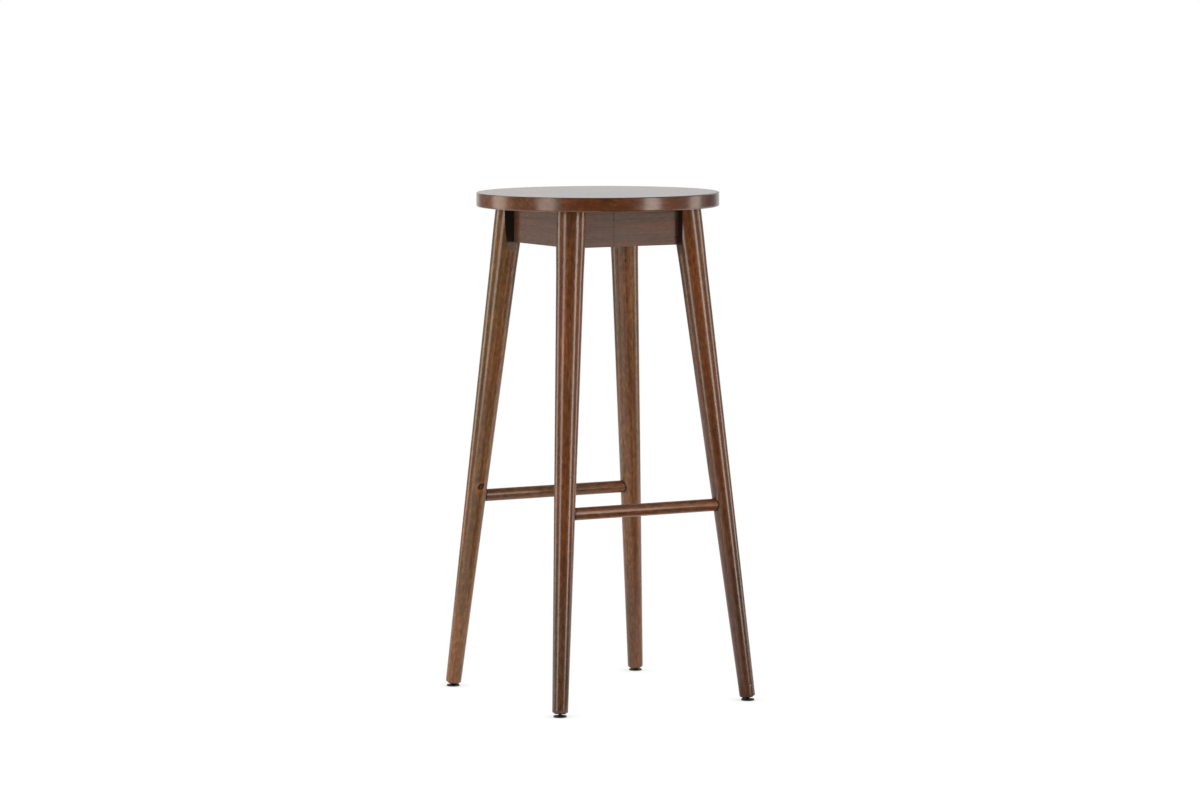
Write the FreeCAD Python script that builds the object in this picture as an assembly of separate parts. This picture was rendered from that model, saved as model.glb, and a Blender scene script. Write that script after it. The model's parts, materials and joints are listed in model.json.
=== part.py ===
import FreeCAD, Part
import math
import os

# Round bar stool: disc seat, square apron, four splayed tapered legs, a footrest
# stretcher at the front and the rear, and a tilting glide under each leg.
# Millimetres, +Z up, origin on the floor under the middle of the seat.
# +X runs along the stretchers and -Y is the front.

Vector = FreeCAD.Vector

# Seat
seat_height = 750.0
seat_radius = 180.0
seat_thickness = 21.0
seat_top_round = 1.6
seat_bottom_round = 2.6
seat_underside = seat_height - seat_thickness

# Legs: the axis runs from the foot point on the floor to the head point at the seat's underside
foot_x, foot_y = 158.2, 170.2
head_x, head_y = 96.1, 94.8
leg_floor_radius = 11.6     # the taper carried down to the floor
leg_taper = 0.01351         # growth of the radius per mm of height
leg_swell = ((600.0, 0.0), (640.0, 0.04), (672.0, 0.42), (705.0, 0.5), (741.0, 0.35))
#                           heights on the leg's head, and its radius there beyond the taper
leg_end_height = 5.6        # height of the middle of the leg's lower end
leg_end_round = 2.8
leg_flat = 81.3             # the two upright flats of each leg, from the middle planes

# Apron rails, butted against the flats of the legs
rail_height = 55.0
rail_thickness = 15.0
rail_face = 97.3            # outer face, from the middle plane
rail_edge_round = 1.0
rail_inner = rail_face - rail_thickness
rail_bottom = seat_underside - rail_height

# Footrest stretchers
stretcher_height = 290.5
stretcher_radius = 9.25
stretcher_edge_round = 0.8
socket_depth = 5.0          # how far the stretcher's body sits in the leg
socket_gap = 0.5            # open ring round the stretcher in its socket
tenon_radius = 6.0
tenon_length = 14.5

# Dowels between the rails and the legs; the two directions pass each other in the leg
dowel_radius = 4.0
dowel_length = 30.0
dowel_chamfer = 0.8
side_dowel_heights = (690.5, 720.0)      # rails that run along Y
front_dowel_heights = (681.5, 711.0)     # rails that run along X

# Corner blocks, measured from the inner corner of the rails
block_height = 45.0
block_tip = 9.0             # cut-away next to the leg
block_leg = 44.0            # length along each rail
block_nib = 4.0             # blunt end of the block
block_bottom = seat_underside - block_height

# Hanger bolts through the blocks into the legs
bolt_height = 701.0
bolt_radius = 3.0
bolt_in_leg = 26.0
bolt_past_nut = 4.0
bolt_pitch = 1.0
bolt_thread_depth = 0.4
bolt_clearance = 0.3
bolt_tip_radius = 0.6
washer_radius = 8.0
washer_thickness = 1.6
washer_edge = 0.2
nut_across_flats = 10.0
nut_thickness = 5.0
nut_crown = 0.5             # chamfer of the nut's points

# Wood screws
screw_radius = 2.0
screw_clearance = 0.3
screw_tip_radius = 0.3
screw_point = 4.0           # length of the pointed end
screw_head_radius = 4.0
screw_head_height = 2.8
screw_head_rim = 1.1        # height of the head's upright edge
screw_crown_radius = 2.8    # flat top of the head
slot_width = 0.9
slot_length = 4.2
slot_depth = 1.5
recess_radius = 4.6
seat_screw_near, seat_screw_far = 7.0, 22.0   # place in the block, from the two rails
seat_screw_recess = 5.0
seat_screw_bite = 12.0
block_screw_along = 36.0
block_screw_height = 706.0
block_screw_seat = 7.0      # head's bearing face, from the rail
block_screw_bite = 11.0

# Glides: a stem with a flange and a ball, and a pad that snaps on the ball
stem_radius = 3.5
stem_length = 18.0
stem_lead = 1.5             # length of the narrowed tip of the plug
stem_lead_step = 0.6        # how much narrower the tip is
flange_radius = 8.5
flange_thickness = 1.2
flange_edge = 0.4
ball_radius = 2.1
ball_drop = 2.72            # ball centre below the leg's end, along the leg
ball_clearance = 0.1
pad_radius = 9.7
pad_thickness = 2.2
pad_edge = 0.4
lip_radius = 3.0
lip_foot_radius = 3.6
lip_foot_height = 2.5
lip_above_ball = 0.75

corners = {
    "front_left": (-1, -1),
    "front_right": (1, -1),
    "rear_right": (1, 1),
    "rear_left": (-1, 1),
}

cutter_size = 400.0         # wider than the leg's head, for the boxes that trim it

splay = math.hypot(foot_x - head_x, foot_y - head_y)
lean = math.atan2(splay, seat_underside)


def leg_point(corner, height):
    """Point of a leg's axis at a height."""
    side_x, side_y = corners[corner]
    rise = height / seat_underside
    x = foot_x + (head_x - foot_x) * rise
    y = foot_y + (head_y - foot_y) * rise
    return Vector(side_x * x, side_y * y, height)


def leg_radius(height):
    """Radius of the straight taper at a height."""
    return leg_floor_radius + leg_taper * height


def on_leg(shape, corner):
    """Moves a shape built up the Z axis onto a leg's axis, its zero at the floor."""
    foot = leg_point(corner, 0.0)
    up = leg_point(corner, seat_underside) - foot
    turn = FreeCAD.Rotation(Vector(0, 0, 1), up)
    shape.Placement = FreeCAD.Placement(foot, turn)
    return shape


def spun(edges):
    """Solid of revolution about Z from the edges of a closed half profile in XZ."""
    face = Part.Face(Part.Wire(edges))
    return face.revolve(Vector(0, 0, 0), Vector(0, 0, 1), 360)


def lines(points):
    """Straight edges through (radius, height) points."""
    corners_3d = [Vector(r, 0, z) for r, z in points]
    return [Part.makeLine(a, b) for a, b in zip(corners_3d, corners_3d[1:])]


def arc(start, middle, end):
    """Arc through three (radius, height) points."""
    points = [Vector(r, 0, z) for r, z in (start, middle, end)]
    return Part.Arc(*points).toShape()


def rod(start, end, radius, chamfer=0.0):
    """Round bar between two points, with chamfered ends."""
    along = end - start
    length = along.Length
    if chamfer > 0.0:
        profile = [(0, 0), (radius - chamfer, 0), (radius, chamfer)]
        profile += [(radius, length - chamfer), (radius - chamfer, length), (0, length), (0, 0)]
        bar = spun(lines(profile))
    else:
        bar = Part.makeCylinder(radius, length)
    bar.Placement = FreeCAD.Placement(start, FreeCAD.Rotation(Vector(0, 0, 1), along))
    return bar


def block_point(corner, from_y_rail, from_x_rail, height):
    """Point inside a corner, by its distances from the inner faces of the two rails."""
    side_x, side_y = corners[corner]
    x = side_x * (rail_inner - from_y_rail)
    y = side_y * (rail_inner - from_x_rail)
    return Vector(x, y, height)


def bolt_line(corner, distance):
    """Point of a hanger bolt's axis, by its distance inward from the rails' corner."""
    step = distance / math.sqrt(2.0)
    return block_point(corner, step, step, bolt_height)


def screw(seat_point, direction, length):
    """Pan-head wood screw: seat_point is under the head and direction points to the tip."""
    r, head_r, top = screw_radius, screw_head_radius, -screw_head_height
    body = spun(lines([(0, length), (screw_tip_radius, length), (r, length - screw_point), (r, 0),
                       (head_r, 0), (head_r, -screw_head_rim), (screw_crown_radius, top), (0, top),
                       (0, length)]))
    for angle in (0, 90):
        slot = Part.makeBox(slot_length, slot_width, slot_depth,
                            Vector(-slot_length / 2, -slot_width / 2, top))
        slot.rotate(Vector(0, 0, 0), Vector(0, 0, 1), angle)
        body = body.cut(slot)
    body.Placement = FreeCAD.Placement(seat_point, FreeCAD.Rotation(Vector(0, 0, 1), direction))
    return body


def seat_screw_spots(corner):
    """The two seat screws of a corner block: bearing point under each head."""
    bearing = block_bottom + seat_screw_recess
    return [block_point(corner, seat_screw_near, seat_screw_far, bearing),
            block_point(corner, seat_screw_far, seat_screw_near, bearing)]


def block_screw_spots(corner):
    """The two rail screws of a corner block: bearing point under each head, and direction."""
    side_x, side_y = corners[corner]
    to_y_rail = (block_point(corner, block_screw_seat, block_screw_along, block_screw_height),
                 Vector(side_x, 0, 0))
    to_x_rail = (block_point(corner, block_screw_along, block_screw_seat, block_screw_height),
                 Vector(0, side_y, 0))
    return [to_y_rail, to_x_rail]


def dowel_bars():
    """All the rail dowels, each half in a leg's flat and half in a rail's end."""
    bars = []
    half = dowel_length / 2
    middle = rail_face - rail_thickness / 2
    for side_x, side_y in corners.values():
        for height in front_dowel_heights:
            start = Vector(side_x * (leg_flat - half), side_y * middle, height)
            end = Vector(side_x * (leg_flat + half), side_y * middle, height)
            bars.append(rod(start, end, dowel_radius, dowel_chamfer))
        for height in side_dowel_heights:
            start = Vector(side_x * middle, side_y * (leg_flat - half), height)
            end = Vector(side_x * middle, side_y * (leg_flat + half), height)
            bars.append(rod(start, end, dowel_radius, dowel_chamfer))
    return bars


def make_seat():
    top_r, low_r = seat_top_round, seat_bottom_round
    half = math.sqrt(0.5)
    top_centre = (seat_radius - top_r, seat_height - top_r)
    low_centre = (seat_radius - low_r, seat_underside + low_r)
    edges = lines([(0, seat_height), (0, seat_underside), (low_centre[0], seat_underside)])
    edges.append(arc((low_centre[0], seat_underside),
                     (low_centre[0] + low_r * half, low_centre[1] - low_r * half),
                     (seat_radius, low_centre[1])))
    edges += lines([(seat_radius, low_centre[1]), (seat_radius, top_centre[1])])
    edges.append(arc((seat_radius, top_centre[1]),
                     (top_centre[0] + top_r * half, top_centre[1] + top_r * half),
                     (top_centre[0], seat_height)))
    edges += lines([(top_centre[0], seat_height), (0, seat_height)])
    seat = spun(edges)
    for corner in corners:
        for spot in seat_screw_spots(corner):
            mouth = Vector(spot.x, spot.y, seat_underside)
            seat = seat.cut(rod(mouth, mouth + Vector(0, 0, seat_screw_bite), screw_radius))
    return seat


def make_leg(corner):
    side_x, side_y = corners[corner]
    stretch = 1.0 / math.cos(lean)          # distance along the axis per mm of height
    end = leg_end_height * stretch
    half = math.sqrt(0.5)
    end_radius = leg_radius(leg_end_height)
    flat_radius = end_radius - leg_end_round
    head_curve = Part.BSplineCurve()
    head_points = [Vector(leg_radius(z) + extra, 0, z * stretch) for z, extra in leg_swell]
    taper_direction = Vector(leg_taper, 0, stretch)
    head_curve.interpolate(Points=head_points, InitialTangent=taper_direction,
                           FinalTangent=taper_direction)
    neck, head = head_points[0], head_points[-1]
    edges = lines([(0, end), (flat_radius, end)])
    edges.append(arc((flat_radius, end),
                     (flat_radius + leg_end_round * half, end + leg_end_round * (1 - half)),
                     (end_radius, end + leg_end_round)))
    edges += lines([(end_radius, end + leg_end_round), (neck.x, neck.z)])
    edges.append(head_curve.toShape())
    edges += lines([(head.x, head.z), (0, head.z), (0, end)])
    leg = on_leg(spun(edges), corner)

    wide = cutter_size
    leg = leg.cut(Part.makeBox(wide, wide, wide, Vector(-wide / 2, -wide / 2, seat_underside)))
    flat_x = min(0, side_x * leg_flat)
    flat_y = min(0, side_y * leg_flat)
    low = seat_underside - 2 * rail_height
    leg = leg.cut(Part.makeBox(leg_flat, wide, wide, Vector(flat_x, -wide / 2, low)))
    leg = leg.cut(Part.makeBox(wide, leg_flat, wide, Vector(-wide / 2, flat_y, low)))

    for bar in dowel_bars():
        if bar.BoundBox.Center.x * side_x > 0 and bar.BoundBox.Center.y * side_y > 0:
            leg = leg.cut(bar)
    leg = leg.cut(rod(bolt_line(corner, block_tip), bolt_line(corner, -bolt_in_leg), bolt_radius))

    shoulder, tenon_end = stretcher_ends()
    axis = leg_point(corner, stretcher_height)
    inside = Vector(0, axis.y, axis.z)
    leg = leg.cut(rod(inside, Vector(side_x * shoulder, axis.y, axis.z), stretcher_radius + socket_gap))
    leg = leg.cut(rod(inside, Vector(side_x * tenon_end, axis.y, axis.z), tenon_radius))
    stem_hole = Part.makeCylinder(stem_radius, stem_length, Vector(0, 0, end))
    return leg.cut(on_leg(stem_hole, corner))


def stretcher_ends():
    """Half lengths of a stretcher: to its shoulders and to the ends of its tenons."""
    axis_x = abs(leg_point("front_right", stretcher_height).x)
    shoulder = axis_x - leg_radius(stretcher_height) + socket_depth
    return shoulder, shoulder + tenon_length


def make_rail(along_x, side):
    """One apron rail: along X at y = side, or along Y at x = side."""
    length = 2 * leg_flat
    rail = Part.makeBox(length, rail_thickness, rail_height,
                        Vector(-leg_flat, -rail_thickness / 2, rail_bottom))
    low_edges = [e for e in rail.Edges
                 if abs(e.BoundBox.ZMax - rail_bottom) < 0.01 and e.BoundBox.XLength > length / 2]
    rail = rail.makeFillet(rail_edge_round, low_edges)
    middle = side * (rail_face - rail_thickness / 2)
    if along_x:
        rail.translate(Vector(0, middle, 0))
    else:
        rail.rotate(Vector(0, 0, 0), Vector(0, 0, 1), 90)
        rail.translate(Vector(middle, 0, 0))
    for bar in dowel_bars():
        if bar.distToShape(rail)[0] < 0.01:
            rail = rail.cut(bar)
    for corner in corners:
        rail = rail.cut(rod(bolt_line(corner, -block_tip), bolt_line(corner, block_tip),
                            bolt_radius + bolt_clearance))
        for spot, direction in block_screw_spots(corner):
            mouth = spot + direction * block_screw_seat
            pilot = rod(mouth, mouth + direction * block_screw_bite, screw_radius)
            rail = rail.cut(pilot)
    return rail


def make_stretcher(side):
    shoulder, tenon_end = stretcher_ends()
    edge, r, tip = stretcher_edge_round, stretcher_radius, dowel_chamfer
    profile = [(0, -tenon_end), (tenon_radius - tip, -tenon_end), (tenon_radius, -tenon_end + tip),
               (tenon_radius, -shoulder), (r - edge, -shoulder), (r, -shoulder + edge)]
    mirrored = [(radius, -z) for radius, z in reversed(profile)]
    bar = spun(lines(profile + mirrored + [(0, -tenon_end)]))
    y = side * abs(leg_point("front_right", stretcher_height).y)
    bar.Placement = FreeCAD.Placement(Vector(0, y, stretcher_height),
                                      FreeCAD.Rotation(Vector(0, 0, 1), Vector(1, 0, 0)))
    return bar


def make_block(corner):
    outline = [(0, block_tip), (0, block_leg), (block_nib, block_leg),
               (block_leg, block_nib), (block_leg, 0), (block_tip, 0)]
    points = [block_point(corner, a, b, block_bottom) for a, b in outline]
    face = Part.Face(Part.makePolygon(points + [points[0]]))
    block = face.extrude(Vector(0, 0, block_height))
    reach = block_leg + block_nib
    block = block.cut(rod(bolt_line(corner, 0), bolt_line(corner, reach), bolt_radius + bolt_clearance))
    for spot in seat_screw_spots(corner):
        up = Vector(0, 0, 1)
        block = block.cut(rod(spot, spot - up * block_height, recess_radius))
        block = block.cut(rod(spot, spot + up * block_height, screw_radius + screw_clearance))
    for spot, direction in block_screw_spots(corner):
        block = block.cut(rod(spot, spot - direction * reach, recess_radius))
        block = block.cut(rod(spot, spot + direction * block_screw_seat, screw_radius + screw_clearance))
    return block


def block_face_distance():
    """Distance of a block's inner face from the rails' corner, along the bolt."""
    return (block_leg + block_nib) / math.sqrt(2.0)


def make_leg_bolt(corner):
    """Hanger bolt: plain wood end in the leg, ridged machine end through the nut."""
    face = block_face_distance()
    total = bolt_in_leg + face + washer_thickness + nut_thickness + bolt_past_nut
    threaded = nut_thickness + bolt_past_nut
    ridge_start = total - threaded
    root = bolt_radius - bolt_thread_depth
    quarter = bolt_pitch / 4
    profile = [(0, 0), (bolt_tip_radius, 0), (bolt_radius, screw_point), (bolt_radius, ridge_start)]
    for turn in range(int(threaded / bolt_pitch)):
        z = ridge_start + turn * bolt_pitch
        profile += [(root, z + quarter), (root, z + 2 * quarter),
                    (bolt_radius, z + 3 * quarter), (bolt_radius, z + 4 * quarter)]
    profile[-1] = (root, total)
    bolt = spun(lines(profile + [(0, total), (0, 0)]))
    start = bolt_line(corner, -bolt_in_leg)
    inward = bolt_line(corner, 1.0) - bolt_line(corner, 0.0)
    bolt.Placement = FreeCAD.Placement(start, FreeCAD.Rotation(Vector(0, 0, 1), inward))
    return bolt


def make_leg_washer(corner):
    face = block_face_distance()
    start, end = bolt_line(corner, face), bolt_line(corner, face + washer_thickness)
    return rod(start, end, washer_radius, washer_edge).cut(rod(start, end, bolt_radius + bolt_clearance))


def make_leg_nut(corner):
    start = bolt_line(corner, block_face_distance() + washer_thickness)
    inward = bolt_line(corner, 1.0) - bolt_line(corner, 0.0)
    point_radius = nut_across_flats / math.sqrt(3.0)
    rim = [Vector(point_radius * math.cos(math.radians(a)), point_radius * math.sin(math.radians(a)), 0)
           for a in range(0, 360, 60)]
    nut = Part.Face(Part.makePolygon(rim + [rim[0]])).extrude(Vector(0, 0, nut_thickness))
    flat_radius = point_radius - nut_crown
    turned = spun(lines([(0, 0), (flat_radius, 0), (point_radius, nut_crown),
                         (point_radius, nut_thickness - nut_crown), (flat_radius, nut_thickness),
                         (0, nut_thickness), (0, 0)]))
    nut = nut.common(turned).cut(Part.makeCylinder(bolt_radius, nut_thickness))
    nut.Placement = FreeCAD.Placement(start, FreeCAD.Rotation(Vector(0, 0, 1), inward))
    return nut


def make_glide_stem(corner):
    """Plug in the leg's end with a flange and the ball that the pad turns on."""
    end = leg_end_height / math.cos(lean)
    neck_drop = ball_drop - flange_thickness
    neck_radius = math.sqrt(ball_radius ** 2 - neck_drop ** 2)
    under = end - flange_thickness
    ball = end - ball_drop
    tip = end + stem_length
    edges = lines([(0, tip), (stem_radius - stem_lead_step, tip),
                   (stem_radius, tip - stem_lead), (stem_radius, end),
                   (flange_radius, end), (flange_radius, under + flange_edge),
                   (flange_radius - flange_edge, under), (neck_radius, under)])
    edges.append(arc((neck_radius, under), (ball_radius, ball), (0, ball - ball_radius)))
    edges += lines([(0, ball - ball_radius), (0, tip)])
    return on_leg(spun(edges), corner)


def ball_centre(corner):
    """Centre of a glide's ball, which is the pivot of its pad."""
    return leg_point(corner, leg_end_height - ball_drop * math.cos(lean))


def make_glide_pad(corner):
    centre = ball_centre(corner)
    socket = ball_radius + ball_clearance
    lip_top = centre.z + lip_above_ball
    mouth = math.sqrt(socket ** 2 - lip_above_ball ** 2)
    bottom = centre.z - socket
    edges = lines([(0, bottom), (0, 0), (pad_radius - pad_edge, 0), (pad_radius, pad_edge),
                   (pad_radius, pad_thickness - pad_edge), (pad_radius - pad_edge, pad_thickness),
                   (lip_foot_radius, lip_foot_height), (lip_radius, lip_top), (mouth, lip_top)])
    edges.append(arc((mouth, lip_top), (socket, centre.z), (0, bottom)))
    pad = spun(edges)
    pad.translate(Vector(centre.x, centre.y, 0))
    return pad


def build():
    nodes = {"seat": make_seat()}
    for name, along_x, side in (("front", True, -1), ("rear", True, 1),
                                ("left", False, -1), ("right", False, 1)):
        nodes["apron_rail_" + name] = make_rail(along_x, side)
    for name, side in (("front", -1), ("rear", 1)):
        nodes["footrest_stretcher_" + name] = make_stretcher(side)
    for corner in corners:
        nodes["leg_" + corner] = make_leg(corner)
        nodes["corner_block_" + corner] = make_block(corner)
        nodes["glide_stem_" + corner] = make_glide_stem(corner)
        nodes["glide_pad_" + corner] = make_glide_pad(corner)
    nodes["rail_dowels"] = Part.makeCompound(dowel_bars())
    nodes["leg_bolts"] = Part.makeCompound([make_leg_bolt(c) for c in corners])
    nodes["leg_bolt_washers"] = Part.makeCompound([make_leg_washer(c) for c in corners])
    nodes["leg_bolt_nuts"] = Part.makeCompound([make_leg_nut(c) for c in corners])
    up = Vector(0, 0, 1)
    seat_screw_length = block_height - seat_screw_recess + seat_screw_bite
    nodes["seat_screws"] = Part.makeCompound(
        [screw(spot, up, seat_screw_length) for c in corners for spot in seat_screw_spots(c)])
    nodes["block_screws"] = Part.makeCompound(
        [screw(spot, direction, block_screw_seat + block_screw_bite)
         for c in corners for spot, direction in block_screw_spots(c)])
    return nodes


os.makedirs("parts", exist_ok=True)
for node, shape in build().items():
    shape.exportStep("parts/" + node + ".step")
    print(node, "valid" if shape.isValid() else "INVALID", len(shape.Solids), "solids",
          round(shape.Volume / 1000.0, 2), "cm3")
for corner_name in corners:
    pivot = ball_centre(corner_name)
    print("pivot", corner_name, round(pivot.x, 3), round(pivot.y, 3), round(pivot.z, 3))
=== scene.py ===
import json
import math
import bmesh
import bpy
from mathutils import Matrix, Vector


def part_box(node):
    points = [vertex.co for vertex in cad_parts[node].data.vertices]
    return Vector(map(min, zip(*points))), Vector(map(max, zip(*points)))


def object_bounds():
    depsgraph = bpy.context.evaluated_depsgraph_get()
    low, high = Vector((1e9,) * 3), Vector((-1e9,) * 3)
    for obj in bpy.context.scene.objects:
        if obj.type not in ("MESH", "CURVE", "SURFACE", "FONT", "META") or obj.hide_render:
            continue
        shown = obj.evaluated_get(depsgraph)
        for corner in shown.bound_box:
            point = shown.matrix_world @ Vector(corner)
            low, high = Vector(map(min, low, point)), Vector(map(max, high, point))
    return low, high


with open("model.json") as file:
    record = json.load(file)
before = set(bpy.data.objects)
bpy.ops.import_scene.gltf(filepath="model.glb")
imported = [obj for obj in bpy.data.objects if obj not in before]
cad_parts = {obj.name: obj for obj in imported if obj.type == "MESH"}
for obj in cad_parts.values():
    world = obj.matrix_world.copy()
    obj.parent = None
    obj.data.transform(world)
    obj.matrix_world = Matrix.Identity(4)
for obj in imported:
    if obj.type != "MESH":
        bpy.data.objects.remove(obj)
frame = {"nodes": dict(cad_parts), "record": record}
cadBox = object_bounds()
record = frame["record"]
cadNodes = frame["nodes"]
scene = bpy.context.scene
corners = ["front_left", "front_right", "rear_right", "rear_left"]
print("frame loaded:", len(cadNodes), "nodes")


# what the frame says about places

def middle(node):
    low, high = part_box(node)
    return (Vector(low) + Vector(high)) / 2


def legLine(corner):  # a point low on the leg's axis, and the way the axis runs up
    joint = next(j for j in record["behaviour"]["joints"] if j["name"] == "pad_tilt_" + corner)
    pivot = Vector(joint["pos_m"])
    across = Vector(joint["axis"])
    outward = Vector((across.y, -across.x, 0))
    stretcher = middle("footrest_stretcher_" + corner.split("_")[0])
    run = (stretcher.y - pivot.y) / outward.y
    up = Vector((outward.x * run, outward.y * run, stretcher.z - pivot.z))
    return pivot, up.normalized()


# node tree helpers

def addNode(tree, kind, options=None, inputs=None):
    node = tree.nodes.new("ShaderNode" + kind)
    for name, value in (options or {}).items():
        setattr(node, name, value)
    for name, value in (inputs or {}).items():
        if isinstance(value, bpy.types.NodeSocket):
            tree.links.new(value, node.inputs[name])
        else:
            node.inputs[name].default_value = value
    return node


def useGroup(tree, group, inputs):
    return addNode(tree, "Group", {"node_tree": group}, inputs).outputs


def calc(tree, operation, a, b=0.0, clamp=False):
    options = {"operation": operation, "use_clamp": clamp}
    return addNode(tree, "Math", options, {0: a, 1: b}).outputs[0]


def addUp(tree, *shares):  # each share is a value and its weight
    total = 0.0
    for value, weight in shares:
        total = calc(tree, "ADD", total, calc(tree, "MULTIPLY", value, weight))
    return total


def vectorCalc(tree, operation, a, b=(0, 0, 0)):
    return addNode(tree, "VectorMath", {"operation": operation}, {0: a, 1: b}).outputs[0]


def measure(tree, operation, a, b=(0, 0, 0)):  # vector sums that give one number
    return addNode(tree, "VectorMath", {"operation": operation}, {0: a, 1: b}).outputs["Value"]


def axisOf(tree, vector, axis):
    return addNode(tree, "SeparateXYZ", None, {0: vector}).outputs[axis]


def ease(tree, value, low, high, toLow=0.0, toHigh=1.0):  # smooth step from low to high
    inputs = {"Value": value, "From Min": low, "From Max": high, "To Min": toLow, "To Max": toHigh}
    return addNode(tree, "MapRange", {"interpolation_type": "SMOOTHSTEP"}, inputs).outputs[0]


def mixColour(tree, factor, a, b, blend="MIX"):
    options = {"data_type": "RGBA", "blend_type": blend}
    return addNode(tree, "Mix", options, {0: factor, 6: a, 7: b}).outputs[2]


def tinted(tree, colour, tint):
    return mixColour(tree, 1.0, colour, tint, "MULTIPLY")


def noise(tree, vector, scale, stretch=(1, 1, 1), detail=2.0, rough=0.5, output="Fac"):
    scaled = vectorCalc(tree, "MULTIPLY", vector, stretch)
    inputs = {"Vector": scaled, "Scale": scale, "Detail": detail, "Roughness": rough}
    return addNode(tree, "TexNoise", None, inputs).outputs[output]


def jitter(tree, vector, reach):  # turns a noise colour into a push of up to half of reach either way
    centred = vectorCalc(tree, "SUBTRACT", vector, (0.5, 0.5, 0.5))
    return vectorCalc(tree, "MULTIPLY", centred, reach)


def startGroup(name, inputs, outputs):
    tree = bpy.data.node_groups.new(name, "ShaderNodeTree")
    for label, kind, value in inputs:
        socket = tree.interface.new_socket(label, in_out="INPUT", socket_type="NodeSocket" + kind)
        if value is not None:
            socket.default_value = value
    for label, kind in outputs:
        tree.interface.new_socket(label, in_out="OUTPUT", socket_type="NodeSocket" + kind)
    given = tree.nodes.new("NodeGroupInput")
    result = tree.nodes.new("NodeGroupOutput")
    return tree, given.outputs, result.inputs


def endGroup(tree, result, outputs):
    for label, value in outputs.items():
        tree.links.new(value, result[label])
    return tree


# wood grain: Z runs along the fibres, metres

fibres = {                  # noise cells per metre, twice across the fibres and then along them
    "wander": (7, 7, 2.2),
    "unevenRings": (18, 18, 3),
    "broad": (95, 95, 5),
    "fine": (620, 620, 16),
    "hair": (2300, 2300, 70),
    "patches": (26, 26, 7),
    "flecks": (260, 260, 95),
    "redness": (60, 60, 4.5),
    "pores": (1250, 1250, 105),
}

grainLook = {
    "wanderReach": (0.016, 0.016, 0.0),
    "ringUnevenness": 1.6,
    "ringRise": (0.35, 0.92),           # late wood darkens over this part of a ring
    "ringFall": (1.0, 0.94),
    "streakGain": 1.1,
    "mottleGain": 2.2,
    "redStain": (1.16, 0.93, 0.80, 1),
    "oliveStain": (0.90, 1.05, 1.12, 1),
    "poreSize": (0.61, 0.70),
    "baseRoughness": 0.22,
}


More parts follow.
